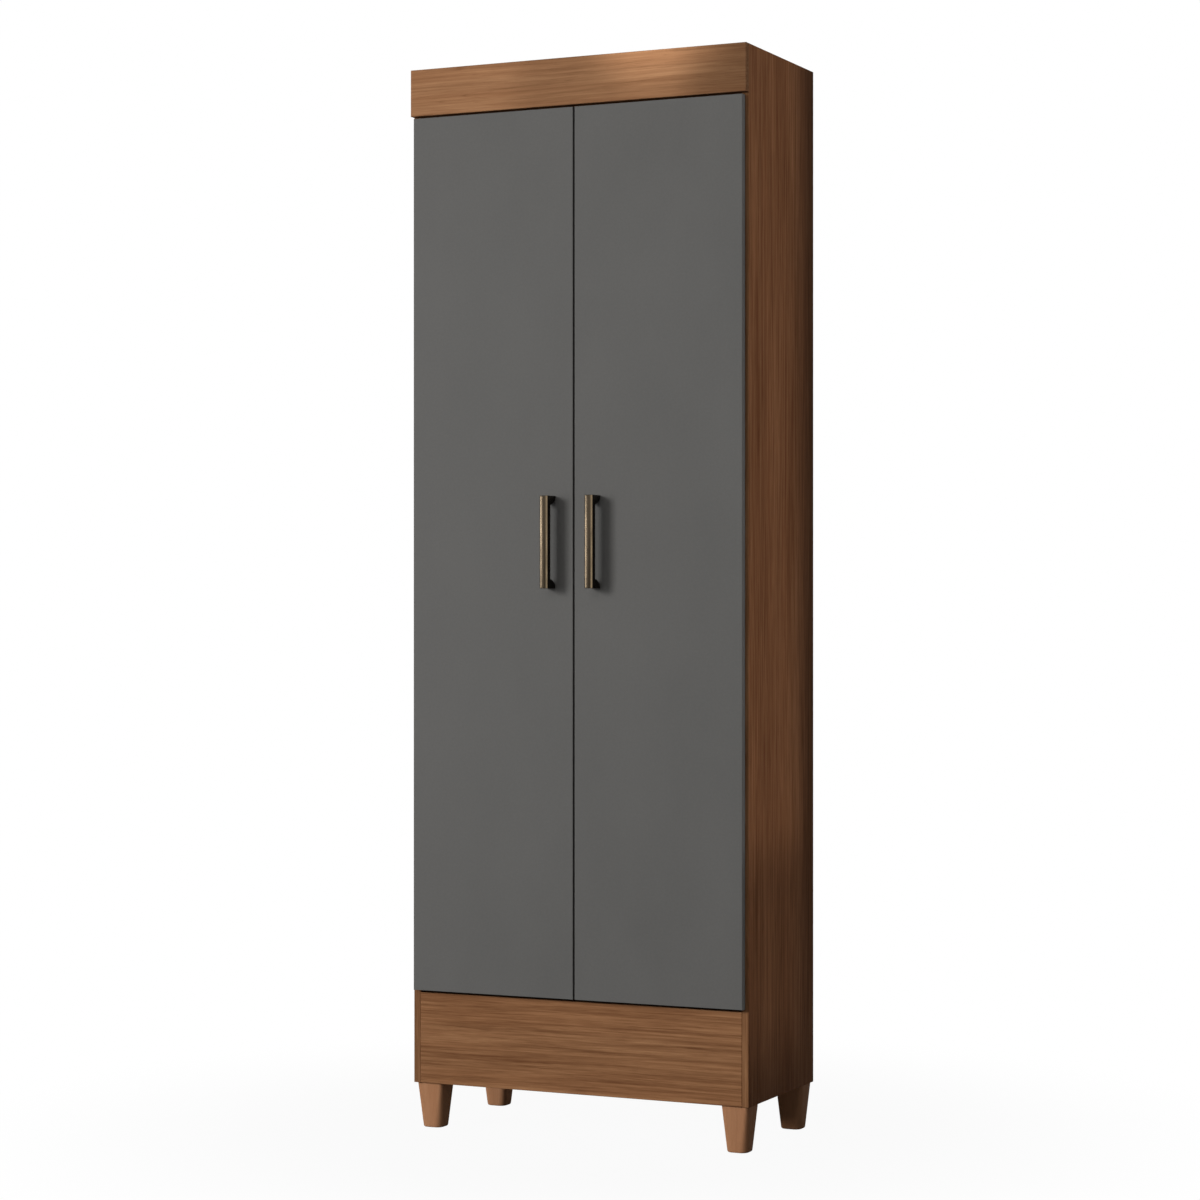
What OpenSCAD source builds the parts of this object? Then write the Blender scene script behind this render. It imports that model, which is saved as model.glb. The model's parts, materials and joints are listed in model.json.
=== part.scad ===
// Tall utility cabinet with two doors on concealed hinges, four tapered feet
// and six shelf spaces. X runs across the front, +Y to the back, +Z up.
// The origin is on the floor, in the middle of the whole cabinet.

/* [Carcass] */
// Width over the side panels
width = 600; // [520:5:800]
// Depth of the side panels, front edge to rear edge
side_depth = 285; // [250:5:400]
// Height of the side panels
side_height = 1680; // [1500:10:1900]
// Thickness of the carcass boards
board = 12; // [11:0.5:14]
// Thickness of the back sheets
back_sheet = 3; // [2.5:0.5:5]
// Height of the plinth boards
plinth_height = 150; // [110:5:200]
// How far the bottom panel's front edge lies behind the front edges
base_setback = 10; // [0:1:10]
// Height of the fascia board over the doors
fascia_height = 77; // [65:1:100]
// Bevel along the visible board edges
edge_ease = 0.6; // [0.3:0.1:1]

/* [Doors] */
// Thickness of the door boards
door_board = 12; // [12:0.5:16]
// Air between a closed door and the front edges
door_standoff = 1; // [0.8:0.1:1.5]
// How far a door edge lies inside the outer face of its side panel
door_inset = 6; // [4:0.5:7]
// Gap between the two doors
door_gap = 3; // [2:0.5:5]
// Gap between the doors and the fascia
top_gap = 4; // [3:0.5:6]
// Gap between the doors and the plinth
bottom_gap = 5; // [3:0.5:6]

/* [Handles] */
// Length of a handle bar
handle_length = 150; // [120:2:200]
// Width of a handle bar
handle_width = 14; // [10:0.5:18]
// Thickness of the bar, front to back
handle_bar = 13; // [8:0.5:15]
// Reach of a handle in front of its door
handle_reach = 31.5; // [26:0.5:40]
// Height of the handle's middle over the door's bottom edge
handle_height = 740; // [500:10:1100]
// Distance from the middle of the bar to the gap between the doors
handle_offset = 40; // [30:1:60]

/* [Feet] */
// Height of a foot
foot_height = 75; // [50:1:120]
// Side of a foot at its top
foot_top = 47; // [40:1:55]
// Side of a foot at the floor
foot_bottom = 36; // [28:1:40]
// Corner radius of a foot at its top
foot_top_radius = 6; // [3:0.5:10]
// Corner radius of a foot at the floor
foot_bottom_radius = 12; // [8:0.5:13]

/* [Shelves] */
// How far the shelves lie behind the front edges
shelf_setback = 18; // [15:1:40]
// Side play of a loose shelf at each end
shelf_play = 1; // [0.5:0.5:3]

/* [Hidden] */
$fn = 40;

// How far a cutting tool runs past the surface that it cuts
overrun = 1;
// Play between a fixing and its bore
fixing_play = 0.1;
// Play between a hinge pin and the link that turns on it
pin_play = 0.08;

// Main levels and faces
strip_flange = 1;
front_reach = door_standoff + door_board + handle_reach;
front_y = (front_reach - side_depth - back_sheet - strip_flange) / 2;
rear_y = front_y + side_depth;
floor_z = foot_height;
roof_z = floor_z + side_height;
inner_x = width / 2 - board;
base_z = floor_z + plinth_height;
deck_z = base_z + board;
ceiling_z = roof_z - board;
fascia_z = roof_z - fascia_height;

// Rails behind the fascia and at the back
rail_overlap = 13;
front_rail_z = fascia_z - rail_overlap;
rear_rail_height = 80;
rear_rail_z = ceiling_z - rear_rail_height;

// Shelves, with as many spaces under the fixed shelf as over it
spaces_per_half = 3;
shelf_pitch = (ceiling_z - deck_z) / (2 * spaces_per_half);
fixed_shelf_z = deck_z + spaces_per_half * shelf_pitch - board / 2;
shelf_back_play = 2;
function shelf_z(number) = deck_z + number * shelf_pitch - board / 2;
loose_shelves = [for (n = [1 : 2 * spaces_per_half - 1]) if (n != spaces_per_half) n];

// Shelf pins
pin_peg_r = 2.5;
pin_bite = 8;
pin_tongue = 9;
pin_side = 8;
pin_thick = 5;
pin_inset = 40;

// Doors
door_z = base_z + bottom_gap;
door_height = fascia_z - top_gap - door_z;
door_width = width / 2 - door_inset - door_gap / 2;
door_back_y = front_y - door_standoff;
door_front_y = door_back_y - door_board;
buffer_r = 3;
buffer_air = 0.3;
buffer_margin = 0.5;
buffer_inset = 25;

// Handles
handle_round = 3;
post_foot = 6;
post_head = 15;
post_curve = 1.7;
post_steps = 8;
handle_screw_r = 1.75;
handle_screw_bite = 12;
handle_screw_head_r = 3.8;
handle_screw_head = 2;

// Feet, their blocks and bolts
foot_inset_side = 3;
foot_inset_front = 4;
foot_inset_rear = 1;
foot_rim = 3;
foot_slice = 0.2;
block_side = 50;
block_dowel_share = 0.7;
block_height = 34;
bolt_r = 4;
bolt_bite = 28;

// Cam fittings and dowels
cam_r = 7;
cam_depth = 9;
cam_reach = 22;
cam_slot = 1.6;
cam_slot_length = 8;
cam_slot_depth = 2;
cam_bolt_r = 2.6;
cam_thread_r = 2.3;
cam_bite = 8;
dowel_r = 3;
dowel_length = 24;
dowel_bite = 8;
fixing_edge = 50;
rail_fixing_spacing = 36;
plinth_fixing_spacing = 70;

// Screws of the fascia, nails of the back
fascia_screw_r = 2;
fascia_screw_bite = 8;
fascia_screw_head_r = 4;
fascia_screw_head = 2.5;
fascia_screw_share = 0.36;
nail_r = 0.9;
nail_head_r = 2;
nail_head = 0.8;
nail_bite = 10;
nail_pitch = 180;
nail_edge = 24;
sheet_reveal = 2;
strip_cover = 9;
strip_web = 1.5;

// Holes for the two wall screws
wall_hole_r = 2.75;
wall_hole_spacing = 400;
wall_hole_drop = 40;
wall_hole_clearance = 1.5;

// Concealed hinges, measured from the outer front corner of the side panel
cup_r = 13;
cup_wall = 0.8;
cup_depth = 9.5;
cup_edge = 4;
cup_x = door_inset + cup_edge + cup_r;
cup_flange = 0.7;
cup_flange_rim = 1.5;
cup_flange_half = 6.5;
cup_flange_reach = 23;
cup_flange_gap = 0.8;
cup_screw_drop = 18;
cup_screw_shift = 1;
cup_screw_r = 1.6;
cup_screw_bite = 9;
small_head_r = 3;
small_head = 1.2;
hinge_pin_r = 1.2;
cup_pin_shift = 8.5;
cup_pin_depth = 3;
arm_pin_shift = 7.5;
arm_pin_depth = 2.5;
cup_pin = [cup_x - cup_pin_shift, -door_standoff - cup_pin_depth];
arm_pin = [cup_x + arm_pin_shift, -door_standoff - arm_pin_depth];
cup_pin_half = 8.55;
link_half_width = 1.2;
link_neck_r = 1.5;
link_neck_length = 6.2;
link_neck_angle = -30;
link_half_height = 4.4;
link_cheek = 1.2;
link_cup_eye_r = 2.1;
link_arm_eye_r = 2.3;
link_fork_r = 3.6;
neck_point = cup_pin + link_neck_length * [cos(link_neck_angle), sin(link_neck_angle)];
arm_half_height = 2.9;
arm_half_width = 1.8;
arm_bend_r = 2.1;
arm_bend_shift = 0.7;
arm_bend_y = 9;
arm_bend = [arm_pin[0] + arm_bend_shift, arm_bend_y];
arm_base = 5.5;
arm_step_y = 24;
arm_step_x = board + arm_base;
arm_length = 62;
plate_thick = 2;
plate_front = 30;
plate_length = 30;
plate_half = 24;
plate_screw_drop = 16;
plate_screw_r = 1.9;
plate_screw_bite = 9;
arm_screw_y = 50;
arm_screw_r = 2;
arm_screw_bite = 1.2;
hinge_end = 100;
hinge_drop = 45;
hinge_levels = [
    door_z + hinge_end,
    fixed_shelf_z - hinge_drop,
    door_z + door_height - hinge_end
];

// Places of the cam fittings: y, z and the turn that faces the cam's open side away from view
panel_levels = [base_z + board / 2, fixed_shelf_z + board / 2, ceiling_z + board / 2];
upright_y = [front_y + board / 2, rear_y - board / 2, front_y + board / 2, rear_y - board / 2];
upright_turn = [90, -90, 90, -90];
upright_z = [
    (front_rail_z + ceiling_z) / 2,
    (rear_rail_z + ceiling_z) / 2,
    floor_z + plinth_height / 2,
    floor_z + plinth_height / 2
];
upright_spacing = [
    rail_fixing_spacing, rail_fixing_spacing, plinth_fixing_spacing, plinth_fixing_spacing
];
panel_cams = [
    for (z = panel_levels)
        for (y = [front_y + fixing_edge, rear_y - fixing_edge])
            [y, z, 0]
];
upright_cams = [
    for (n = [0 : len(upright_y) - 1])
        [upright_y[n], upright_z[n] + upright_spacing[n] / 2, upright_turn[n]]
];
cam_places = concat(panel_cams, upright_cams);
panel_dowels = [for (z = panel_levels) [(front_y + rear_y) / 2, z]];
upright_dowels = [
    for (n = [0 : len(upright_y) - 1])
        [upright_y[n], upright_z[n] - upright_spacing[n] / 2]
];
dowel_places = concat(panel_dowels, upright_dowels);

// The same piece on both sides of the cabinet
module both_sides() {
    children();
    mirror([1, 0, 0])
        children();
}

// The chosen side, with the left one as modelled
module on_side(side) {
    if (side == "left")
        children();
    else
        mirror([1, 0, 0])
            children();
}

// A cylinder that starts at the origin and runs along +X
module rod_x(length, r) {
    rotate([0, 90, 0])
        cylinder(h = length, r = r);
}

// A cylinder that starts at the origin and runs along +Y
module rod_y(length, r) {
    rotate([-90, 0, 0])
        cylinder(h = length, r = r);
}

// A bar between two points of a plan
module plan_bar(from, to, half_width) {
    run = to - from;
    translate(from)
        rotate([0, 0, atan2(run[1], run[0])])
            translate([0, -half_width])
                square([norm(run), 2 * half_width]);
}

// A plan at the origin, drawn up and down by half its height
module standing(half_height) {
    translate([0, 0, -half_height])
        linear_extrude(height = 2 * half_height)
            children();
}

// A board seen from the front, with its four front edges eased
module faced_board(wide, thick, high) {
    intersection() {
        linear_extrude(height = high)
            polygon([
                [0, edge_ease],
                [edge_ease, 0],
                [wide - edge_ease, 0],
                [wide, edge_ease],
                [wide, thick],
                [0, thick]
            ]);
        rotate([90, 0, 90])
            linear_extrude(height = wide)
                polygon([
                    [edge_ease, 0],
                    [0, edge_ease],
                    [0, high - edge_ease],
                    [edge_ease, high],
                    [thick, high],
                    [thick, 0]
                ]);
    }
}

// Bores for the cam fittings and dowels of both ends
module fixing_bores() {
    both_sides() {
        for (place = cam_places)
            translate([-inner_x, place[0], place[1]]) {
                translate([-cam_bite - fixing_play, 0, 0])
                    rod_x(cam_bite + 2 * fixing_play, cam_thread_r + fixing_play);
                rod_x(cam_reach, cam_bolt_r + fixing_play);
                translate([cam_reach, 0, 0])
                    rotate([place[2], 0, 0])
                        translate([0, 0, -board / 2 - overrun])
                            cylinder(h = cam_depth + fixing_play + overrun, r = cam_r + fixing_play);
            }
        for (place = dowel_places)
            translate([-inner_x - dowel_bite - fixing_play, place[0], place[1]])
                rod_x(dowel_length + 2 * fixing_play, dowel_r + fixing_play);
    }
}

// Bores of the dowels that hold the foot blocks, and the dowels themselves
module block_dowels(play) {
    block_z = floor_z + block_height / 2;
    both_sides()
        for (rear = [false, true]) {
            y = rear ? rear_y - board : front_y + board;
            inward = rear ? -1 : 1;
            translate([-inner_x - dowel_bite - play, y + inward * block_side * block_dowel_share, block_z])
                rod_x(dowel_length + 2 * play, dowel_r + play);
            translate([
                -inner_x + block_side * block_dowel_share,
                y - inward * (dowel_bite + play),
                block_z
            ])
                rotate([rear ? 90 : -90, 0, 0])
                    cylinder(h = dowel_length + 2 * play, r = dowel_r + play);
        }
}

// Places of the hinge pieces of one side
module at_hinges(side) {
    on_side(side)
        for (z = hinge_levels)
            translate([-width / 2, front_y, z])
                children();
}

module side_panel() {
    color("#8a5a3c")
        difference() {
            translate([-width / 2, front_y, floor_z])
                linear_extrude(height = side_height)
                    polygon([
                        [0, edge_ease],
                        [edge_ease, 0],
                        [board - edge_ease, 0],
                        [board, edge_ease],
                        [board, side_depth],
                        [edge_ease, side_depth],
                        [0, side_depth - edge_ease]
                    ]);
            fixing_bores();
            block_dowels(fixing_play);
            for (n = loose_shelves)
                pin_pegs(n, fixing_play);
            at_hinges("left")
                plate_screw_bores();
            nails(fixing_play);
        }
}

module side_panel_left() {
    side_panel();
}

module side_panel_right() {
    mirror([1, 0, 0])
        side_panel();
}

// A level board between the side panels
module level_board(z, front, back) {
    translate([-inner_x, front, z])
        cube([2 * inner_x, back - front, board]);
}

module top_panel() {
    color("#8a5a3c")
        difference() {
            level_board(ceiling_z, front_y, rear_y);
            fixing_bores();
            nails(fixing_play);
        }
}

module base_panel() {
    color("#8a5a3c")
        difference() {
            level_board(base_z, front_y + base_setback, rear_y);
            fixing_bores();
        }
}

module fixed_shelf() {
    color("#8a5a3c")
        difference() {
            level_board(fixed_shelf_z, front_y + shelf_setback, rear_y - strip_flange);
            fixing_bores();
        }
}

module loose_shelf(number) {
    color("#8a5a3c")
        translate([-inner_x + shelf_play, front_y + shelf_setback, shelf_z(number)])
            cube([
                2 * (inner_x - shelf_play),
                side_depth - shelf_setback - shelf_back_play,
                board
            ]);
}

// Pegs of the shelf pins of one shelf, with their play
module pin_pegs(number, play) {
    both_sides()
        for (y = [front_y + shelf_setback + pin_inset, rear_y - pin_inset])
            translate([-inner_x - pin_bite - play, y, shelf_z(number) - pin_thick / 2])
                rod_x(pin_bite + play, pin_peg_r + play);
}

module shelf_pins() {
    color("silver")
        for (n = loose_shelves) {
            pin_pegs(n, 0);
            both_sides()
                for (y = [front_y + shelf_setback + pin_inset, rear_y - pin_inset])
                    translate([-inner_x, y - pin_side / 2, shelf_z(n) - pin_thick])
                        cube([pin_tongue, pin_side, pin_thick]);
        }
}

// Screws of the fascia, driven from behind through the front rail
module fascia_screws_at(play) {
    for (x = [-1, 1])
        for (level = [-1, 1])
            translate([
                x * fascia_screw_share * width,
                front_y - fascia_screw_bite - play,
                fascia_z + fascia_height / 2 + level * rail_fixing_spacing / 2
            ])
                rod_y(fascia_screw_bite + board + 2 * play, fascia_screw_r + play);
}

module fascia_screws() {
    color("silver") {
        fascia_screws_at(0);
        for (x = [-1, 1])
            for (level = [-1, 1])
                translate([
                    x * fascia_screw_share * width,
                    front_y + board,
                    fascia_z + fascia_height / 2 + level * rail_fixing_spacing / 2
                ])
                    rod_y(fascia_screw_head, fascia_screw_head_r);
    }
}

module fascia() {
    color("#a2714c")
        difference() {
            translate([-width / 2, front_y - board, fascia_z])
                faced_board(width, board, fascia_height);
            fascia_screws_at(fixing_play);
        }
}

// An upright board between the side panels
module upright_board(y, z, high) {
    translate([-inner_x, y, z])
        cube([2 * inner_x, board, high]);
}

module front_rail() {
    color("#8a5a3c")
        difference() {
            upright_board(front_y, front_rail_z, ceiling_z - front_rail_z);
            fixing_bores();
            fascia_screws_at(fixing_play);
        }
}

module rear_rail() {
    color("#8a5a3c")
        difference() {
            upright_board(rear_y - board, rear_rail_z, rear_rail_height);
            fixing_bores();
            wall_holes(wall_hole_r);
        }
}

module plinth_front() {
    color("#7d5539")
        difference() {
            translate([-inner_x, front_y, floor_z])
                faced_board(2 * inner_x, board, plinth_height);
            fixing_bores();
            block_dowels(fixing_play);
        }
}

module plinth_rear() {
    color("#8a5a3c")
        difference() {
            upright_board(rear_y - board, floor_z, plinth_height);
            fixing_bores();
            block_dowels(fixing_play);
            nails(fixing_play);
        }
}

// The two holes that take the wall screws
module wall_holes(r) {
    for (x = [-wall_hole_spacing / 2, wall_hole_spacing / 2])
        translate([x, rear_y - board - overrun, ceiling_z - wall_hole_drop])
            rod_y(board + back_sheet + 2 * overrun, r);
}

// Nails round the edge of the back, with their play
module nails(play) {
    low = floor_z + nail_edge;
    high = roof_z - board / 2;
    rows = floor((high - low) / nail_pitch);
    x = width / 2 - board / 2;
    for (n = [0 : rows])
        for (side = [-1, 1])
            translate([side * x, rear_y - nail_bite - play, low + n * (high - low) / rows])
                rod_y(nail_bite + back_sheet + 2 * play, nail_r + play);
}

module back_nails() {
    low = floor_z + nail_edge;
    high = roof_z - board / 2;
    rows = floor((high - low) / nail_pitch);
    x = width / 2 - board / 2;
    color("silver") {
        nails(0);
        for (n = [0 : rows])
            for (side = [-1, 1])
                translate([side * x, rear_y + back_sheet, low + n * (high - low) / rows])
                    rod_y(nail_head, nail_head_r);
    }
}

// One sheet of the back, between two levels
module back_sheet_between(low, high) {
    color("#b9a48a")
        difference() {
            translate([-width / 2 + sheet_reveal, rear_y, low])
                cube([width - 2 * sheet_reveal, back_sheet, high - low]);
            wall_holes(wall_hole_r + wall_hole_clearance);
            nails(fixing_play);
        }
}

module back_sheet_lower() {
    seam = fixed_shelf_z + board / 2;
    back_sheet_between(floor_z + sheet_reveal, seam - strip_web / 2);
}

module back_sheet_upper() {
    seam = fixed_shelf_z + board / 2;
    back_sheet_between(seam + strip_web / 2, roof_z - sheet_reveal);
}

// Strip of H section that joins the two sheets
module back_joining_strip() {
    seam = fixed_shelf_z + board / 2;
    length = 2 * (inner_x - shelf_play);
    color("#d8cfc0")
        translate([-length / 2, rear_y, seam]) {
            translate([0, 0, -strip_web / 2])
                cube([length, back_sheet, strip_web]);
            for (y = [-strip_flange, back_sheet])
                translate([0, y, -strip_cover])
                    cube([length, strip_flange, 2 * strip_cover]);
        }
}

// The left foot at the front or at the rear, from its own middle
foot_x = -width / 2 + foot_inset_side + foot_top / 2;
function foot_y(rear) = rear
    ? rear_y - foot_inset_rear - foot_top / 2
    : front_y + foot_inset_front + foot_top / 2;

// A square with round corners
module round_square(side, radius) {
    offset(r = radius)
        square(side - 2 * radius, center = true);
}

module foot(rear) {
    rim_share = foot_rim / foot_height;
    rim_side = foot_bottom + (foot_top - foot_bottom) * rim_share;
    color("#a87a57")
        translate([foot_x, foot_y(rear), 0])
            difference() {
                hull() {
                    translate([0, 0, foot_height - foot_slice])
                        linear_extrude(height = foot_slice)
                            round_square(foot_top, foot_top_radius);
                    translate([0, 0, foot_rim])
                        linear_extrude(height = foot_slice)
                            round_square(rim_side, foot_bottom_radius);
                    linear_extrude(height = foot_slice)
                        round_square(foot_bottom - foot_rim, foot_bottom_radius - foot_rim / 2);
                }
                translate([0, 0, foot_height - bolt_bite - fixing_play])
                    cylinder(h = bolt_bite + fixing_play + overrun, r = bolt_r + fixing_play);
            }
}

module foot_block(rear) {
    color("#c9a87c")
        difference() {
            translate([
                -inner_x,
                rear ? rear_y - board - block_side : front_y + board,
                floor_z
            ])
                cube([block_side, block_side, block_height]);
            block_dowels(fixing_play);
            translate([foot_x, foot_y(rear), floor_z - overrun])
                cylinder(h = bolt_bite + fixing_play + overrun, r = bolt_r + fixing_play);
        }
}

module foot_bolts() {
    color("silver")
        both_sides()
            for (rear = [false, true])
                translate([foot_x, foot_y(rear), floor_z - bolt_bite])
                    cylinder(h = 2 * bolt_bite, r = bolt_r);
}

module cams() {
    color("silver")
        both_sides()
            for (place = cam_places)
                translate([-inner_x + cam_reach, place[0], place[1]])
                    difference() {
                        rotate([place[2], 0, 0])
                            difference() {
                                translate([0, 0, -board / 2])
                                    cylinder(h = cam_depth, r = cam_r);
                                translate([-cam_slot_length / 2, -cam_slot / 2, -board / 2 - overrun])
                                    cube([cam_slot_length, cam_slot, cam_slot_depth + overrun]);
                            }
                        translate([-cam_r - overrun, 0, 0])
                            rod_x(cam_r + overrun, cam_bolt_r + fixing_play);
                    }
}

module cam_bolts() {
    color("silver")
        both_sides()
            for (place = cam_places)
                translate([-inner_x, place[0], place[1]]) {
                    translate([-cam_bite, 0, 0])
                        rod_x(cam_bite, cam_thread_r);
                    rod_x(cam_reach - fixing_play, cam_bolt_r);
                }
}

module dowels() {
    color("#e0c79a") {
        both_sides()
            for (place = dowel_places)
                translate([-inner_x - dowel_bite, place[0], place[1]])
                    rod_x(dowel_length, dowel_r);
        block_dowels(0);
    }
}

// Hinge pieces on the carcass, in the frame of one hinge
module plate_screw_bores() {
    for (level = [-1, 1])
        translate([
            board - plate_screw_bite - fixing_play,
            plate_front + plate_length / 2,
            level * plate_screw_drop
        ])
            rod_x(plate_screw_bite + fixing_play + overrun, plate_screw_r + fixing_play);
}

module hinge_plates(side) {
    color("silver")
        at_hinges(side)
            difference() {
                translate([board, plate_front, -plate_half])
                    cube([plate_thick, plate_length, 2 * plate_half]);
                for (level = [-1, 1])
                    translate([board - overrun, plate_front + plate_length / 2, level * plate_screw_drop])
                        rod_x(plate_thick + 2 * overrun, plate_screw_r + fixing_play);
                translate([board + plate_thick - arm_screw_bite, arm_screw_y, 0])
                    rod_x(arm_screw_bite + overrun, arm_screw_r + fixing_play);
            }
}

module hinge_plate_screws(side) {
    color("gray")
        at_hinges(side)
            for (level = [-1, 1])
                translate([board, plate_front + plate_length / 2, level * plate_screw_drop]) {
                    translate([-plate_screw_bite, 0, 0])
                        rod_x(plate_screw_bite + plate_thick, plate_screw_r);
                    translate([plate_thick, 0, 0])
                        rod_x(small_head, small_head_r);
                }
}

module hinge_arms(side) {
    base_left = board + plate_thick;
    color("silver")
        at_hinges(side)
            difference() {
                standing(arm_half_height) {
                    translate([base_left, arm_step_y])
                        square([arm_base, arm_length - arm_step_y]);
                    plan_bar([arm_step_x, arm_step_y + arm_half_width], arm_bend, arm_half_width);
                    plan_bar(arm_bend, arm_pin, arm_half_width);
                    translate(arm_bend)
                        circle(r = arm_bend_r);
                    translate(arm_pin)
                        circle(r = link_arm_eye_r);
                }
                translate([arm_pin[0], arm_pin[1], -arm_half_height - overrun])
                    cylinder(h = 2 * (arm_half_height + overrun), r = hinge_pin_r + fixing_play / 2);
                translate([base_left - overrun, arm_screw_y, 0])
                    rod_x(arm_base + 2 * overrun, arm_screw_r + fixing_play);
            }
}

module hinge_arm_screws(side) {
    base_right = plate_thick + arm_step_x;
    color("gray")
        at_hinges(side) {
            translate([board + plate_thick - arm_screw_bite + fixing_play, arm_screw_y, 0])
                rod_x(arm_base + arm_screw_bite - fixing_play, arm_screw_r);
            translate([base_right, arm_screw_y, 0])
                rod_x(small_head, arm_half_height);
        }
}

module hinge_arm_pins(side) {
    color("gray")
        at_hinges(side)
            translate([arm_pin[0], arm_pin[1], -link_half_height])
                cylinder(h = 2 * link_half_height, r = hinge_pin_r);
}

// The goose neck link that carries the door from the arm, forked round the arm's eye
module hinge_links(side) {
    color("silver")
        at_hinges(side)
            difference() {
                standing(link_half_height) {
                    translate(cup_pin)
                        circle(r = link_cup_eye_r);
                    plan_bar(cup_pin, neck_point, link_half_width);
                    translate(neck_point)
                        circle(r = link_neck_r);
                    plan_bar(neck_point, arm_pin, link_half_width);
                    translate(arm_pin)
                        circle(r = link_arm_eye_r);
                }
                translate([arm_pin[0], arm_pin[1], link_cheek - link_half_height])
                    cylinder(h = 2 * (link_half_height - link_cheek), r = link_fork_r);
                for (pin = [cup_pin, arm_pin])
                    translate([pin[0], pin[1], -link_half_height - overrun])
                        cylinder(h = 2 * (link_half_height + overrun), r = hinge_pin_r + pin_play);
            }
}

module hinge_cups(side) {
    color("silver")
        at_hinges(side)
            difference() {
                translate([cup_x, -door_standoff, 0])
                    rotate([90, 0, 0])
                        union() {
                            cylinder(h = cup_depth, r = cup_r);
                            translate([0, 0, -cup_flange])
                                linear_extrude(height = cup_flange)
                                    intersection() {
                                        union() {
                                            circle(r = cup_r + cup_flange_rim);
                                            translate([cup_screw_shift, 0])
                                                square(2 * [cup_flange_half, cup_flange_reach], center = true);
                                        }
                                        translate([board + cup_flange_gap - cup_x, -cup_flange_reach])
                                            square(2 * [cup_flange_reach, cup_flange_reach]);
                                    }
                        }
                translate([cup_x, cup_flange + overrun - door_standoff, 0])
                    rotate([90, 0, 0])
                        cylinder(h = cup_flange + overrun + cup_depth - cup_wall, r = cup_r - cup_wall);
                translate([cup_pin[0], cup_pin[1], -cup_pin_half])
                    cylinder(h = 2 * cup_pin_half, r = hinge_pin_r + fixing_play / 2);
                cup_screw_bores();
            }
}

module cup_screw_bores() {
    for (level = [-1, 1])
        translate([
            cup_x + cup_screw_shift,
            -door_standoff - cup_screw_bite - fixing_play,
            level * cup_screw_drop
        ])
            rod_y(cup_screw_bite + cup_flange + fixing_play + overrun, cup_screw_r + fixing_play);
}

module hinge_cup_pins(side) {
    color("gray")
        at_hinges(side)
            translate([cup_pin[0], cup_pin[1], -cup_pin_half])
                cylinder(h = 2 * cup_pin_half, r = hinge_pin_r);
}

module hinge_cup_screws(side) {
    color("gray")
        at_hinges(side)
            for (level = [-1, 1])
                translate([cup_x + cup_screw_shift, -door_standoff, level * cup_screw_drop]) {
                    translate([0, -cup_screw_bite, 0])
                        rod_y(cup_screw_bite + cup_flange, cup_screw_r);
                    translate([0, cup_flange, 0])
                        rod_y(small_head, small_head_r);
                }
}

// Middle of the handle, and the middles of its two posts at the door's face
handle_x = -handle_offset;
handle_z = door_z + handle_height;
post_z = (handle_length - post_foot) / 2;

module door(side) {
    color("#5f5e5c")
        difference() {
            on_side(side)
                translate([-width / 2 + door_inset, door_front_y, door_z])
                    faced_board(door_width, door_board, door_height);
            at_hinges(side) {
                translate([cup_x, overrun - door_standoff, 0])
                    rotate([90, 0, 0])
                        cylinder(h = cup_depth + fixing_play + overrun, r = cup_r + fixing_play);
                cup_screw_bores();
            }
            on_side(side)
                handle_screw_rods(fixing_play);
        }
}

// Screws that hold a handle, from inside the door
module handle_screw_rods(play) {
    for (level = [-1, 1])
        translate([
            handle_x,
            door_front_y - handle_screw_bite - play,
            handle_z + level * post_z
        ])
            rod_y(handle_screw_bite + door_board + 2 * play, handle_screw_r + play);
}

module handle_screws(side) {
    color("gray")
        on_side(side) {
            handle_screw_rods(0);
            for (level = [-1, 1])
                translate([handle_x, door_back_y, handle_z + level * post_z])
                    rod_y(handle_screw_head, handle_screw_head_r);
        }
}

// Height of a post at a share of the way from the bar to the door
function post_height(share) =
    post_foot + (post_head - post_foot) * (1 - pow(share, post_curve));

// Inner edge of the upper post, from the bar to the door
function post_edge() = [
    for (n = [0 : post_steps])
        let (share = n / post_steps)
            [
                -(handle_reach - handle_bar) * (1 - share),
                handle_length / 2 - post_height(share)
            ]
];

// Bar handle with posts that widen towards the bar
module handle(side) {
    half = handle_length / 2;
    upper = post_edge();
    lower = [for (n = [0 : post_steps]) [upper[post_steps - n][0], -upper[post_steps - n][1]]];
    outline = [[0, half], [-handle_reach, half], [-handle_reach, -half], [0, -half]];
    color("#6b5a45")
        on_side(side)
            difference() {
                intersection() {
                    translate([handle_x - handle_width / 2, door_front_y, handle_z])
                        rotate([90, 0, 90])
                            linear_extrude(height = handle_width)
                                polygon(concat(outline, lower, upper));
                    translate([handle_x, door_front_y - handle_reach, handle_z - half - overrun])
                        linear_extrude(height = handle_length + 2 * overrun)
                            handle_plan();
                }
                handle_screw_rods(fixing_play);
            }
}

// Plan of the handle, with its two front edges rounded
module handle_plan() {
    side = handle_width / 2 - handle_round;
    for (x = [-side, side])
        translate([x, handle_round])
            circle(r = handle_round);
    translate([-side, 0])
        square([2 * side, handle_reach]);
    translate([-handle_width / 2, handle_round])
        square([handle_width, handle_reach - handle_round]);
}

// The soft buffer that rests on the front rail
module door_buffers(side) {
    color("white")
        on_side(side)
            translate([
                -door_gap / 2 - buffer_inset,
                door_back_y,
                door_z + door_height - buffer_r - buffer_margin
            ])
                rod_y(door_standoff - buffer_air, buffer_r);
}

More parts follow.
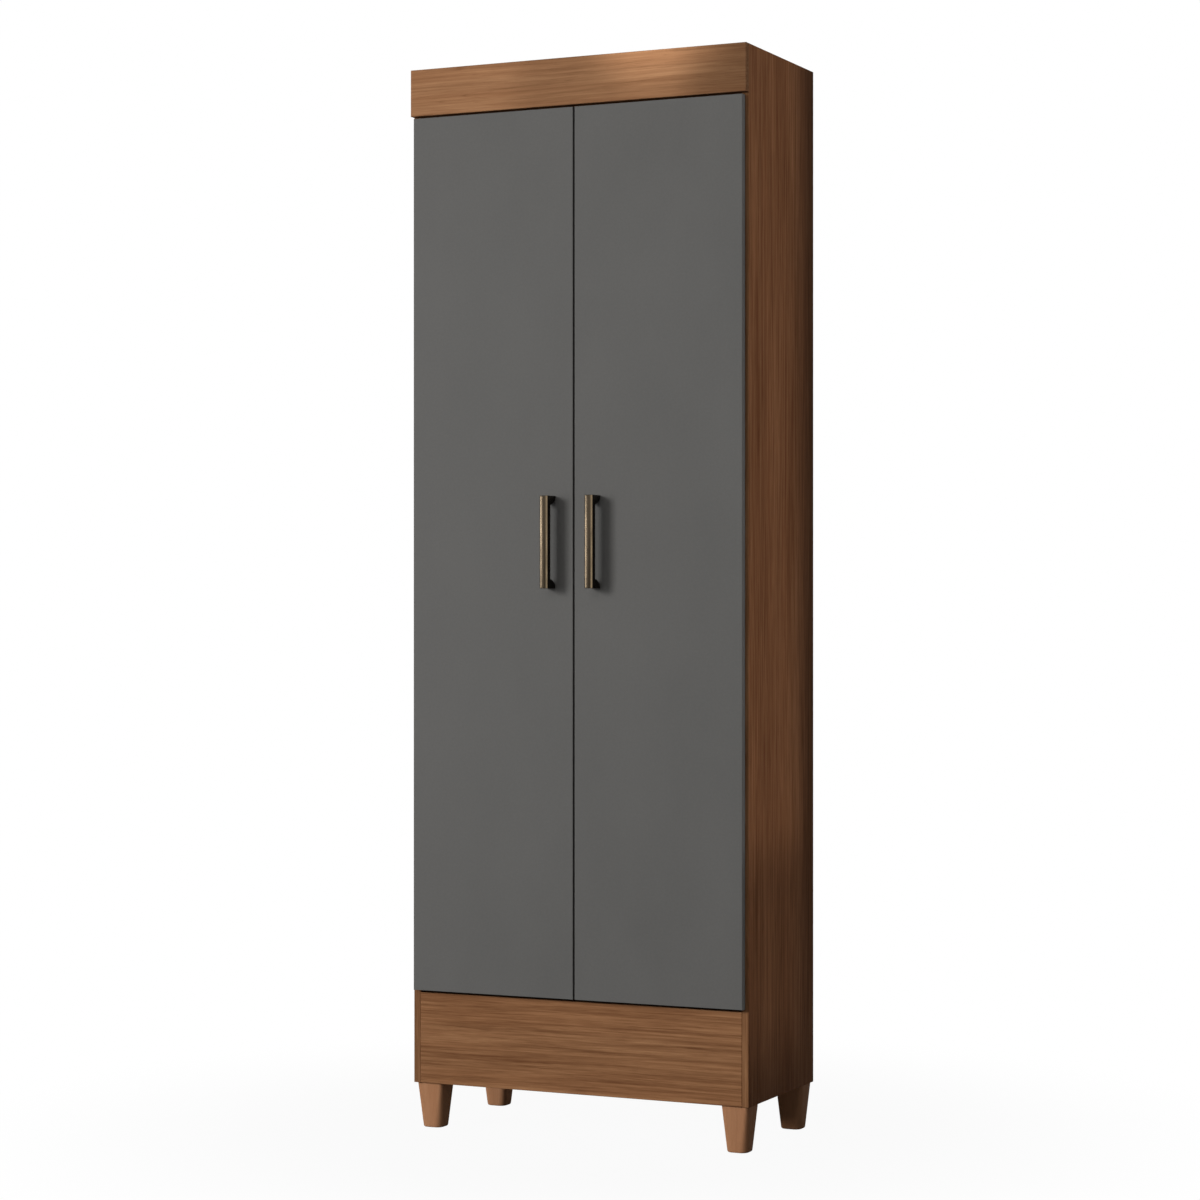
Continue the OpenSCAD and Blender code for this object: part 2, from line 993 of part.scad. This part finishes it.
side_panel_left();
side_panel_right();
top_panel();
base_panel();
fascia();
plinth_front();
plinth_rear();
front_rail();
rear_rail();
back_sheet_lower();
back_sheet_upper();
back_joining_strip();
back_nails();
fixed_shelf();
loose_shelf(loose_shelves[0]);  // shelf_1
loose_shelf(loose_shelves[1]);  // shelf_2
loose_shelf(loose_shelves[2]);  // shelf_3
loose_shelf(loose_shelves[3]);  // shelf_4
shelf_pins();
foot(false);  // foot_front_left
mirror([1, 0, 0]) foot(false);  // foot_front_right
foot(true);  // foot_rear_left
mirror([1, 0, 0]) foot(true);  // foot_rear_right
foot_block(false);  // foot_block_front_left
mirror([1, 0, 0]) foot_block(false);  // foot_block_front_right
foot_block(true);  // foot_block_rear_left
mirror([1, 0, 0]) foot_block(true);  // foot_block_rear_right
foot_bolts();
cams();
cam_bolts();
dowels();
fascia_screws();
hinge_plates("left");  // hinge_plates_left
hinge_arms("left");  // hinge_arms_left
hinge_arm_pins("left");  // hinge_arm_pins_left
hinge_plate_screws("left");  // hinge_plate_screws_left
hinge_arm_screws("left");  // hinge_arm_screws_left
hinge_plates("right");  // hinge_plates_right
hinge_arms("right");  // hinge_arms_right
hinge_arm_pins("right");  // hinge_arm_pins_right
hinge_plate_screws("right");  // hinge_plate_screws_right
hinge_arm_screws("right");  // hinge_arm_screws_right
hinge_links("left");  // hinge_links_left
hinge_links("right");  // hinge_links_right
door("left");  // door_left
handle("left");  // handle_left
handle_screws("left");  // handle_screws_left
door_buffers("left");  // door_buffers_left
hinge_cups("left");  // hinge_cups_left
hinge_cup_pins("left");  // hinge_cup_pins_left
hinge_cup_screws("left");  // hinge_cup_screws_left
door("right");  // door_right
handle("right");  // handle_right
handle_screws("right");  // handle_screws_right
door_buffers("right");  // door_buffers_right
hinge_cups("right");  // hinge_cups_right
hinge_cup_pins("right");  // hinge_cup_pins_right
hinge_cup_screws("right");  // hinge_cup_screws_right
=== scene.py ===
import json
import math

import bmesh
import bpy
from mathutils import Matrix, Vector


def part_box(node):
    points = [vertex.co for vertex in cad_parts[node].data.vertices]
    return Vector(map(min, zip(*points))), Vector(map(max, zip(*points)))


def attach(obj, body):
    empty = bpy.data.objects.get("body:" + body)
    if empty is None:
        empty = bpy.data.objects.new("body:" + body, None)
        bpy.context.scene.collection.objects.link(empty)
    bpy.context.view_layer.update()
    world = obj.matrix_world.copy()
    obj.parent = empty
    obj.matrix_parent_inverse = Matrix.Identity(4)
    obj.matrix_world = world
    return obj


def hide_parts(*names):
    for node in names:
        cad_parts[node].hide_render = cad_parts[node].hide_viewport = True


# The cabinet's visual model. The CAD meshes carry procedural materials, and the tapered feet and
# the bar handles are redrawn. All lengths are in metres.

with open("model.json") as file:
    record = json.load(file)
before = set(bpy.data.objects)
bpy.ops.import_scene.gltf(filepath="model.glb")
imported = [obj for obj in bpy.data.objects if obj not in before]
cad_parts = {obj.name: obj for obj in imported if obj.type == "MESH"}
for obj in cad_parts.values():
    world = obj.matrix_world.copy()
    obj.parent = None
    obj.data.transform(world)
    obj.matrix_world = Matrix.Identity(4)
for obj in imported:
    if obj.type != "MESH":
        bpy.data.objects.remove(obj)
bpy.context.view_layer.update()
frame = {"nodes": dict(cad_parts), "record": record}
nodes = frame["nodes"]
scene = bpy.context.scene
scene.view_settings.view_transform = "Standard"
MM = 0.001


# Camera, at the photograph's place and angle

def make_camera():
    camera = bpy.data.objects.new("camera", bpy.data.cameras.new("camera"))
    camera.location = (2.0658, -4.46855, 0.8743)
    camera.rotation_euler = (math.radians(90), 0, math.radians(24.98))
    camera.data.sensor_width = 36
    camera.data.lens = 89.09
    camera.data.shift_y = 0.00106
    camera.data.clip_end = 60
    scene.collection.objects.link(camera)
    scene.camera = camera


# Colours are written as they show on a screen, 0 to 255

def linear(value):
    share = value / 255
    return share / 12.92 if share <= 0.04045 else ((share + 0.055) / 1.055) ** 2.4


def tone(red, green, blue):
    return (linear(red), linear(green), linear(blue), 1)


def tint(colours, red, green, blue):
    return [(c[0] * red, c[1] * green, c[2] * blue, 1) for c in colours]


def scaled(colour, share):
    return tuple(min(c * share, 1) for c in colour[:3]) + (1,)


def greys(stops):
    return [(place, (v, v, v, 1)) for place, v in stops]


# Lamps and surroundings

def lamp(name, kind, place, target, watts, glossy=True, diffuse=True, **values):
    """A lamp that the camera doesn't see. It lights glosses, matt surfaces or both, as asked."""
    data = bpy.data.lights.new(name, kind)
    data.energy = watts
    for key, value in values.items():
        setattr(data, key, value)
    thing = bpy.data.objects.new(name, data)
    thing.location = place
    thing.rotation_euler = (Vector(target) - Vector(place)).to_track_quat("-Z", "Y").to_euler()
    thing.visible_camera = False
    thing.visible_glossy = glossy
    thing.visible_diffuse = diffuse
    scene.collection.objects.link(thing)


def area(name, place, target, watts, width, height, spread=180, **lights):
    lamp(name, "AREA", place, target, watts, shape="RECTANGLE", size=width, size_y=height,
         spread=math.radians(spread), **lights)


def make_lamps():
    """A large key from the left, a sheen for the handles, soft fills, narrow lamps for the side
    panel and its front edge, and a spot for the light patch on the fascia."""
    area("key", (-6.9, -9.6, 3.9), (0, -0.13, 0.95), 975, 3.5, 3.2, glossy=False)
    area("sheen", (-4.2, -4.5, 1.05), (0, -0.13, 0.97), 430, 0.9, 2.6, diffuse=False)
    area("fill", (-0.2, -5.0, 2.9), (0.05, -0.13, 1.2), 64, 3.2, 3.2)
    area("behind", (-3.2, 7.5, 2.6), (0, 0.16, 0.95), 480, 2.8, 2.8)
    area("side", (1.2, -0.151, 1.27), (0.3, -0.151, 1.27), 0.87, 0.5, 1.6, spread=11, glossy=False)
    area("side_low", (1.2, -0.151, 0.31), (0.3, -0.151, 0.31), 0.08, 0.5, 0.32, spread=14,
         glossy=False)
    area("edge", (2.9, -1.55, 1.0), (0, -0.15, 1.0), 1.2, 0.12, 1.2)
    lamp("spot", "SPOT", (0.45, -1.55, 1.98), (0.155, -0.134, 1.825), 84,
         spot_size=math.radians(12.2), spot_blend=1.0, shadow_soft_size=0.02)


class Nodes:
    """A node tree, with one call for each node and its inputs."""

    def __init__(self, tree):
        self.tree = tree

    def add(self, kind, inputs=None, **settings):
        node = self.tree.nodes.new(kind)
        for key, value in settings.items():
            setattr(node, key, value)
        for key, value in (inputs or {}).items():
            self.put(value, node.inputs[key])
        return node

    def put(self, value, socket):
        if isinstance(value, bpy.types.NodeSocket):
            self.tree.links.new(value, socket)
        else:
            socket.default_value = value

    def math(self, operation, *values):
        node = self.add("ShaderNodeMath", operation=operation)
        for n, value in enumerate(values):
            self.put(value, node.inputs[n])
        return node.outputs[0]

    def vector(self, operation, *values, output=0):
        node = self.add("ShaderNodeVectorMath", operation=operation)
        for n, value in enumerate(values):
            self.put(value, node.inputs[n])
        return node.outputs[output]

    def weigh(self, first, share, second):
        """The first value by its share, and the second by the rest."""
        return self.math("MULTIPLY_ADD", first, share, self.math("MULTIPLY", second, 1 - share))

    def spread(self, value, low, high, out_low, out_high, smooth=False):
        """low to high becomes out_low to out_high, and what lies past either end is held there."""
        node = self.add("ShaderNodeMapRange", {
            "Value": value, "From Min": low, "From Max": high,
            "To Min": out_low, "To Max": out_high,
        })
        if smooth:
            node.interpolation_type = "SMOOTHSTEP"
        return node.outputs["Result"]

    def noise(self, place, scale, detail, roughness=0.5, distortion=0.0, output="Fac"):
        """Noise about 0.5. scale is how often it changes in a metre, as one number or three."""
        if not isinstance(scale, tuple):
            scale = (scale, scale, scale)
        sized = self.add("ShaderNodeMapping", {"Vector": place, "Scale": scale})
        node = self.add("ShaderNodeTexNoise", {
            "Vector": sized.outputs["Vector"], "Scale": 1.0, "Detail": detail,
            "Roughness": roughness, "Distortion": distortion,
        })
        return node.outputs[output]

    def ramp(self, value, stops):
        node = self.add("ShaderNodeValToRGB", {"Fac": value})
        elements = node.color_ramp.elements
        while len(elements) < len(stops):
            elements.new(0.5)
        for element, (place, colour) in zip(elements, stops):
            element.position = place
            element.color = colour
        return node.outputs["Color"]

    def facing(self):
        """The object's own normal, in its three parts."""
        normal = self.add("ShaderNodeTexCoord").outputs["Normal"]
        return self.add("ShaderNodeSeparateXYZ", {"Vector": normal})

    def mix(self, share, first, second, blend="MIX"):
        """Two colours, by the sockets that the mix node keeps for colours."""
        node = self.add("ShaderNodeMix", data_type="RGBA", blend_type=blend)
        self.put(share, node.inputs[0])
        self.put(first, node.inputs[6])
        self.put(second, node.inputs[7])
        return node.outputs[2]


ROOM_LIGHT = 0.09            # of the world, as it falls on things
FLOOR_RADIUS = 9
FLOOR_DROP = 0.4 * MM        # below the feet
FLOOR_SHADES = greys([(0.3, 0.18), (0.7, 0.22)])
NEAR_WHITE = 0.95            # share of white that the camera sees near the feet
SHADE_REACH = (0.35, 1.2)    # from the middle, where that turns to wholly white


def camera_share(n):
    """1 for what the camera, a gloss or a clear surface sees, and 0 for light that falls on things."""
    path = n.add("ShaderNodeLightPath")
    seen = n.math("MAXIMUM", path.outputs["Is Camera Ray"], path.outputs["Is Glossy Ray"])
    return n.math("MAXIMUM", seen, path.outputs["Is Transmission Ray"])


def make_world():
    world = bpy.data.worlds.new("studio")
    world.use_nodes = True
    scene.world = world
    world.node_tree.nodes.clear()
    n = Nodes(world.node_tree)
    strength = n.spread(camera_share(n), 0, 1, ROOM_LIGHT, 1.0)
    background = n.add("ShaderNodeBackground", {"Color": (1, 1, 1, 1), "Strength": strength})
    output = n.add("ShaderNodeOutputWorld")
    n.put(background.outputs[0], output.inputs["Surface"])


def floor_paper():
    """Pale paper that glows white for the camera, but for the shadow near the feet."""
    material = bpy.data.materials.new("floor")
    material.use_nodes = True
    material.node_tree.nodes.clear()
    n = Nodes(material.node_tree)
    place = n.add("ShaderNodeTexCoord").outputs["Object"]
    far = n.vector("LENGTH", place, output=1)
    white = n.spread(far, *SHADE_REACH, NEAR_WHITE, 1.0, smooth=True)
    paper = n.add("ShaderNodeBsdfDiffuse", {"Color": n.ramp(n.noise(place, 9, 3), FLOOR_SHADES)})
    glow = n.add("ShaderNodeEmission", {"Color": (1, 1, 1, 1), "Strength": 1.0})
    both = n.add("ShaderNodeMixShader")
    n.put(n.math("MULTIPLY", camera_share(n), white), both.inputs[0])
    n.put(paper.outputs[0], both.inputs[1])
    n.put(glow.outputs[0], both.inputs[2])
    output = n.add("ShaderNodeOutputMaterial")
    n.put(both.outputs[0], output.inputs["Surface"])
    return material


def make_floor():
    mesh = bpy.data.meshes.new("floor")
    shape = bmesh.new()
    bmesh.ops.create_circle(shape, cap_ends=True, radius=FLOOR_RADIUS, segments=96)
    shape.to_mesh(mesh)
    shape.free()
    mesh.materials.append(floor_paper())
    floor = bpy.data.objects.new("floor", mesh)
    floor.location = (0, 0, -FLOOR_DROP)
    scene.collection.objects.link(floor)


# Materials, each from the object's own coordinates

def new_material(name):
    material = bpy.data.materials.new(name)
    material.use_nodes = True
    n = Nodes(material.node_tree)
    n.material = material
    n.shader = material.node_tree.nodes["Principled BSDF"]
    n.place = n.add("ShaderNodeTexCoord").outputs["Object"]
    return n


def paint(n, colour, rough):
    n.put(colour, n.shader.inputs["Base Color"])
    n.put(rough, n.shader.inputs["Roughness"])


def bump(n, height, strength, distance):
    node = n.add("ShaderNodeBump", {"Height": height, "Strength": strength, "Distance": distance})
    n.put(node.outputs["Normal"], n.shader.inputs["Normal"])


ACROSS, UP = 0, 2            # the axes that grains and brushed marks run along


def along_axis(axis, along, across):
    return tuple(along if a == axis else across for a in range(3))


# How often each part of a wood's figure changes in a metre, along the grain and across it
BENDS = (1.4, 5.0)
STREAKS = (4.2, 215)
FIBRES = (22, 560)
HUES = (0.9, 34)
VEINS = (1.2, 38)
PORES = (34, 1150)
TONES_ALONG = 1.4

# What a wood's own colour is multiplied with in its warmer places, its veins and its pores
WARM = (1.0, 0.86, 0.78, 1)
VEIN = (0.5, 0.42, 0.36, 1)
PORE = (0.25, 0.2, 0.17, 1)

HALF_WIDTH = 0.3             # of the cabinet
WOOD_SPECULAR = 0.004        # nearly none, since the white world shows in every gloss
LACQUER_SPECULAR = 0.1


def bent_place(n, axis, start, wave):
    """Where the figure is read. It wanders across the grain by up to about wave."""
    moved = n.vector("ADD", n.place, start)
    bend = n.noise(moved, along_axis(axis, *BENDS), 2, output="Color")
    bend = n.vector("SUBTRACT", bend, (0.5, 0.5, 0.5))
    bend = n.vector("MULTIPLY", bend, along_axis(axis, 0, wave * 2))
    return n.vector("ADD", moved, bend)


def veined(n, place, axis, streaks, colour, veins):
    """Thin dark lines where a slow noise passes certain levels, fainter on light streaks."""
    level = n.noise(place, along_axis(axis, *VEINS), 2, 0.45, 0.2)
    level = n.math("PINGPONG", level, 0.06)
    line = n.spread(level, 0.0, 0.011, 1.0, 0.0, smooth=True)
    line = n.math("MULTIPLY", line, n.spread(streaks, 0.4, 0.6, 1.0, 0.2))
    return n.mix(n.math("MULTIPLY", line, veins), colour, VEIN, "MULTIPLY")


def shaded(n, axis, colour, shades):
    """The colour times painted shade: a brightness that changes along the grain."""
    along = n.add("ShaderNodeSeparateXYZ", {"Vector": n.place}).outputs[axis]
    stops = greys([(x / (2 * HALF_WIDTH) + 0.5, v) for x, v in shades])
    share = n.spread(along, -HALF_WIDTH, HALF_WIDTH, 0, 1)
    return n.mix(1.0, colour, n.ramp(share, stops), "MULTIPLY")


def with_front(n, colour, band):
    """The colour, times the band's on faces that look to the front. On the inside boards the
    band is painted shade.
    """
    front = n.spread(n.facing().outputs[1], -0.5, -0.9, 0, 1)
    return n.mix(front, colour, n.mix(1.0, colour, band, "MULTIPLY"))


def wood(name, axis, dark, middle, light, start, rough=(0.44, 0.58), broad=0.3, fine=0.22,
         veins=0.4, pores=0.22, wave=0.008, shades=None, band=None, reach=0.14, wide=28):
    """Veneer with its grain along one axis: tones, streaks, fibres, thin veins and short pores.

    start shifts the figure, so that no two woods share one. broad and fine are the shares of the
    tones and of the fibres, and the streaks have the rest. reach is how far their sum goes to
    either side of its middle, and wide how often the tones change across the grain. shades are
    painted shade: brightnesses at places along the grain, for how the light falls off along it.
    band tints the front edges, and on the inside boards it is painted shade that darkens them.
    """
    n = new_material(name)
    place = bent_place(n, axis, start, wave)
    tones = n.noise(place, along_axis(axis, TONES_ALONG, wide), 4)
    streaks = n.noise(place, along_axis(axis, *STREAKS), 4, 0.6)
    fibres = n.noise(place, along_axis(axis, *FIBRES), 4, 0.6)
    share = n.math("MULTIPLY", tones, broad)
    share = n.math("MULTIPLY_ADD", streaks, 1 - broad - fine, share)
    share = n.math("MULTIPLY_ADD", fibres, fine, share)
    colour = n.ramp(share, [(0.5 - reach, dark), (0.5, middle), (0.5 + reach, light)])
    hue = n.noise(place, along_axis(axis, *HUES), 2)
    colour = n.mix(n.spread(hue, 0.35, 0.65, 0.0, 0.25), colour, WARM, "MULTIPLY")
    colour = veined(n, place, axis, streaks, colour, veins)
    dots = n.spread(n.noise(place, along_axis(axis, *PORES), 1), 0.62, 0.74, 0, 1)
    colour = n.mix(n.math("MULTIPLY", dots, pores), colour, PORE, "MULTIPLY")
    # painted shade along the grain, where shades are given
    if shades:
        colour = shaded(n, axis, colour, shades)
    if band:
        colour = with_front(n, colour, band)
    paint(n, colour, n.spread(share, 0.35, 0.65, rough[1], rough[0]))
    height = n.math("ADD", n.math("MULTIPLY", fibres, 0.5), streaks)
    height = n.math("SUBTRACT", height, n.math("MULTIPLY", dots, 0.8))
    bump(n, height, 0.25, 0.3 * MM)
    n.shader.inputs["Specular IOR Level"].default_value = WOOD_SPECULAR
    return n.material


def lacquer(name, colour, rough):
    """Sprayed board: faint clouds in tone and gloss, fine flecks and a slight orange peel."""
    n = new_material(name)
    clouds = n.noise(n.place, (7, 7, 4), 4)
    flecks = n.noise(n.place, 260, 2)
    tones = [(0.35, scaled(colour, 0.93)), (0.65, scaled(colour, 1.07))]
    shown = n.ramp(n.weigh(flecks, 0.3, clouds), tones)
    paint(n, shown, n.spread(clouds, 0.3, 0.7, rough - 0.04, rough + 0.04))
    bump(n, n.noise(n.place, 520, 1), 0.12, 0.1 * MM)
    n.shader.inputs["Specular IOR Level"].default_value = LACQUER_SPECULAR
    return n.material


def metal(name, colour, rough, axis=None, brushed=1600, rubbed=None):
    """Metal, brushed along an axis or mottled. rubbed is the colour of its worn upright edges."""
    n = new_material(name)
    n.shader.inputs["Metallic"].default_value = 1
    marks = n.noise(n.place, brushed if axis is None else along_axis(axis, 22, brushed), 3)
    stains = n.noise(n.place, 38, 3)
    share = n.weigh(marks, 0.5, stains)
    shown = n.ramp(share, [(0.36, scaled(colour, 0.86)), (0.62, colour)])
    if rubbed:
        facing = n.facing()
        slant = n.math("ABSOLUTE", n.math("MULTIPLY", facing.outputs[0], facing.outputs[1]))
        edges = n.spread(slant, 0.2, 0.42, 0, 1)
        worn = n.math("MULTIPLY", edges, n.spread(stains, 0.3, 0.6, 0.7, 1.0))
        shown = n.mix(worn, shown, rubbed)
    paint(n, shown, n.spread(share, 0.35, 0.65, rough + 0.07, rough - 0.05))
    bump(n, marks, 0.1, 0.05 * MM)
    return n.material


def fibreboard(name, colour):
    """Pressed board: a matted grain and slow clouds."""
    n = new_material(name)
    felt = n.noise(n.place, 300, 5, 0.7, 1.5)
    share = n.weigh(felt, 0.6, n.noise(n.place, 12, 3))
    tones = [(0.36, scaled(colour, 0.72)), (0.62, scaled(colour, 1.15))]
    paint(n, n.ramp(share, tones), n.spread(share, 0.35, 0.65, 0.85, 0.7))
    bump(n, felt, 0.3, 0.3 * MM)
    return n.material


def plastic(name, colour, rough, clear=0.0):
    """Moulded or extruded plastic, with a fine grain."""
    n = new_material(name)
    n.shader.inputs["Transmission Weight"].default_value = clear
    clouds = n.noise(n.place, 60, 3)
    tones = [(0.35, scaled(colour, 0.92)), (0.65, colour)]
    paint(n, n.ramp(clouds, tones), n.spread(clouds, 0.3, 0.7, rough - 0.05, rough + 0.05))
    bump(n, n.noise(n.place, 900, 1), 0.15, 0.1 * MM)
    return n.material


def make_materials():
    walnut = (tone(110, 72, 47), tone(144, 102, 71), tone(172, 127, 91))
    side_walnut = (tone(96, 60, 37), tone(126, 84, 56), tone(152, 106, 73))
    # Painted light: the fascia's walnut is the same walnut made brighter, for the stronger light on
    # the fascia.
    fascia_walnut_painted_light = tint(walnut, 1.21, 1.26, 1.29)
    plinth_walnut = tint(walnut, 0.97, 0.97, 0.95)
    foot_wood = (tone(168, 121, 88), tone(176, 128, 94), tone(183, 135, 101))
    pale_wood = (tone(180, 145, 98), tone(208, 176, 128), tone(224, 196, 152))
    # Painted shade along the fascia, as (place across, brightness): darker towards the right end,
    # where the light falls off.
    fascia_painted_shade = [(-0.3, 1.0), (-0.13, 1.02), (-0.07, 0.83), (-0.01, 0.83),
                     (0.1, 0.92), (0.17, 0.84), (0.22, 0.63), (0.3, 0.52)]
    return {
        "walnut_side": wood("walnut_side", UP, *side_walnut, (3.1, 5.2, 0.4),
                            band=(1.04, 1.17, 1.22, 1), wide=12),
        "walnut_fascia": wood("walnut_fascia", ACROSS, *fascia_walnut_painted_light, (1.7, 2.9, 8.3),
                              broad=0.1, veins=0.35, shades=fascia_painted_shade, reach=0.3),
        "walnut_plinth": wood("walnut_plinth", ACROSS, *plinth_walnut, (6.2, 1.3, 4.4)),
        # The inside boards' band is painted shade: it darkens their front edges, for the shade in the
        # gaps around the doors.
        "walnut_inside": wood("walnut_inside", ACROSS, *walnut, (2.2, 7.7, 1.9),
                              band=(0.3, 0.28, 0.27, 1)),
        "foot_wood": wood("foot_wood", UP, *foot_wood, (9.1, 0.3, 2.2),
                          rough=(0.36, 0.46), veins=0.04, pores=0.05, wave=0.004),
        "pale_wood": wood("pale_wood", UP, *pale_wood, (4.4, 3.3, 1.1),
                          rough=(0.6, 0.75), pores=0.1),
        "graphite_door": lacquer("graphite_door", tone(95, 94, 92), 0.58),
        "bronze": metal("bronze", tone(50, 43, 34), 0.27, UP, rubbed=tone(122, 106, 84)),
        "zinc_steel": metal("zinc_steel", tone(196, 197, 199), 0.34, None, 700),
        "back_sheet": fibreboard("back_sheet", tone(150, 118, 84)),
        "strip_plastic": plastic("strip_plastic", tone(206, 198, 182), 0.5),
        "clear_buffer": plastic("clear_buffer", tone(225, 226, 222), 0.3, 0.6),
    }


materials = make_materials()
slot_of = {s["node"]: s["material_slot"] for s in frame["record"]["subparts"]}


def dress_cad():
    for name, thing in nodes.items():
        thing.data.materials.clear()
        thing.data.materials.append(materials[slot_of[name]])


# Pieces that take the place of CAD nodes

def new_piece(name, shape, slot, body, replaced, sharp=math.radians(35)):
    """A piece in a CAD node's place, shaded smooth except where it turns by more than sharp."""
    mesh = bpy.data.meshes.new(name)
    bmesh.ops.recalc_face_normals(shape, faces=shape.faces)
    for edge in shape.edges:
        edge.smooth = edge.calc_face_angle(0) < sharp
    for face in shape.faces:
        face.smooth = True
    shape.to_mesh(mesh)
    shape.free()
    piece = bpy.data.objects.new(name, mesh)
    scene.collection.objects.link(piece)
    mesh.materials.append(materials[slot])
    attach(piece, body)
    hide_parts(replaced)


def loft(shape, rings):
    """Closed rings of equal length, joined by quads and capped at both ends."""
    made = [[shape.verts.new(p) for p in ring] for ring in rings]
    count = len(rings[0])
    for lower, upper in zip(made, made[1:]):
        for n in range(count):
            shape.faces.new((lower[n], lower[(n + 1) % count], upper[(n + 1) % count], upper[n]))
    shape.faces.new(made[0][::-1])
    shape.faces.new(made[-1])


def round_square(cx, cy, z, side, radius, steps=8):
    """The points of a level square with round corners."""
    half = side / 2 - radius
    ring = []
    for corner in range(4):
        start = corner * math.pi / 2
        mx = half * (1 if corner in (0, 3) else -1)
        my = half * (1 if corner in (0, 1) else -1)
        for n in range(steps + 1):
            angle = start + n * math.pi / 2 / steps
            ring.append((cx + mx + radius * math.cos(angle), cy + my + radius * math.sin(angle), z))
    return ring


FOOT_BOTTOM = 36 * MM        # across, at the floor
FOOT_RIM = 3 * MM            # height of the rounded lower edge, which draws in by half as much
CORNER_WIDE = 12 * MM        # radius of the corners at the floor
CORNER_TIGHT = 6 * MM        # and at the top
FOOT_STEPS = 12
RIM_STEPS = 6


def make_foot(name):
    """Tapered foot whose corners open from a tight round at the top to a wide one at the floor."""
    low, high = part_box(name)
    cx, cy = (low.x + high.x) / 2, (low.y + high.y) / 2
    tall, top = high.z - low.z, high.x - low.x
    rings = []
    for n in range(RIM_STEPS + 1):
        turn = n / RIM_STEPS * math.pi / 2
        z = FOOT_RIM * (1 - math.cos(turn))
        draw_in = FOOT_RIM * (1 - math.sin(turn)) * 0.5
        side = FOOT_BOTTOM + (top - FOOT_BOTTOM) * z / tall - 2 * draw_in
        rings.append(round_square(cx, cy, low.z + z, side, CORNER_WIDE - draw_in))
    for n in range(1, FOOT_STEPS + 1):
        share = FOOT_RIM / tall + (1 - FOOT_RIM / tall) * n / FOOT_STEPS
        side = FOOT_BOTTOM + (top - FOOT_BOTTOM) * share
        radius = CORNER_WIDE + (CORNER_TIGHT - CORNER_WIDE) * share
        rings.append(round_square(cx, cy, low.z + tall * share, side, radius))
    shape = bmesh.new()
    loft(shape, rings)
    new_piece(name.replace("foot", "tapered_foot"), shape, "foot_wood", "carcass", name)


BAR_DEPTH = 13 * MM          # front to back, of the bar alone
BEVEL = 2.2 * MM             # of the two long front edges
SOFT = 0.5 * MM              # radius where a bevel meets the faces beside it
CROWN = 0.4 * MM             # by which the middle of the front stands proud
END_RADIUS = 0.8 * MM        # of the front edges at the bar's two ends
POST_SLIM = 6 * MM           # height of a post at the door
POST_FLARE = 9 * MM          # what it gains on the way to the bar
POST_CURVE = 1.7             # the power in which it gains it
POST_STEPS = 14


def handle_outline(low, high, front):
    """A slice from front to back, as (y, z) about the middle height: the bar and both posts."""
    half = (high.z - low.z) / 2
    reach = high.y - low.y
    points = [(high.y, half), (front + END_RADIUS, half)]
    for n in range(1, 4):
        turn = n / 4 * math.pi / 2
        y = front + END_RADIUS * (1 - math.sin(turn))
        points.append((y, half - END_RADIUS * (1 - math.cos(turn))))
    points.append((front, half - END_RADIUS))
    points += [(y, -z) for y, z in reversed(points)]
    edge = []
    for n in range(POST_STEPS + 1):
        share = n / POST_STEPS
        post = POST_SLIM + POST_FLARE * (1 - share ** POST_CURVE)
        edge.append((low.y + BAR_DEPTH + (reach - BAR_DEPTH) * share, half - post))
    return points + [(y, -z) for y, z in reversed(edge)] + edge


def bar_profile(half_width, flat, rise):
    """The bar's front from above, as (x, drop): a flat middle with softened bevels beside it."""
    half = [(half_width, BEVEL + rise)]
    for cx, cy, start in ((half_width - SOFT, BEVEL + rise, 0), (flat, SOFT, 45)):
        for n in range(5):
            turn = math.radians(start + n * 45 / 4)
            half.append((cx + SOFT * math.cos(turn), cy - SOFT * math.sin(turn)))
    half += [(flat * n / 6, 0.0) for n in range(5, -1, -1)]
    half = sorted({(round(x, 7), round(drop, 7)) for x, drop in half})
    return [(-x, drop) for x, drop in reversed(half) if x > 0] + half


def make_handle(side):
    """Bar handle, in slices across its width, with a crowned front between two bevels."""
    low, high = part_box(f"handle_{side}")
    middle = (low + high) / 2
    half_width = (high.x - low.x) / 2
    rise = SOFT * math.tan(math.pi / 8)
    flat = half_width - BEVEL - rise
    slices = []
    for x, drop in bar_profile(half_width, flat, rise):
        front = low.y + drop + CROWN * min(abs(x) / flat, 1) ** 2
        outline = handle_outline(low, high, front)
        slices.append([(middle.x + x, y, middle.z + z) for y, z in outline])
    shape = bmesh.new()
    loft(shape, slices)
    new_piece(f"bar_handle_{side}", shape, "bronze", f"{side}_door", f"handle_{side}",
              sharp=math.radians(30))


make_camera()
make_lamps()
make_world()
make_floor()
dress_cad()
for name in ("foot_front_left", "foot_front_right", "foot_rear_left", "foot_rear_right"):
    make_foot(name)
for side in ("left", "right"):
    make_handle(side)
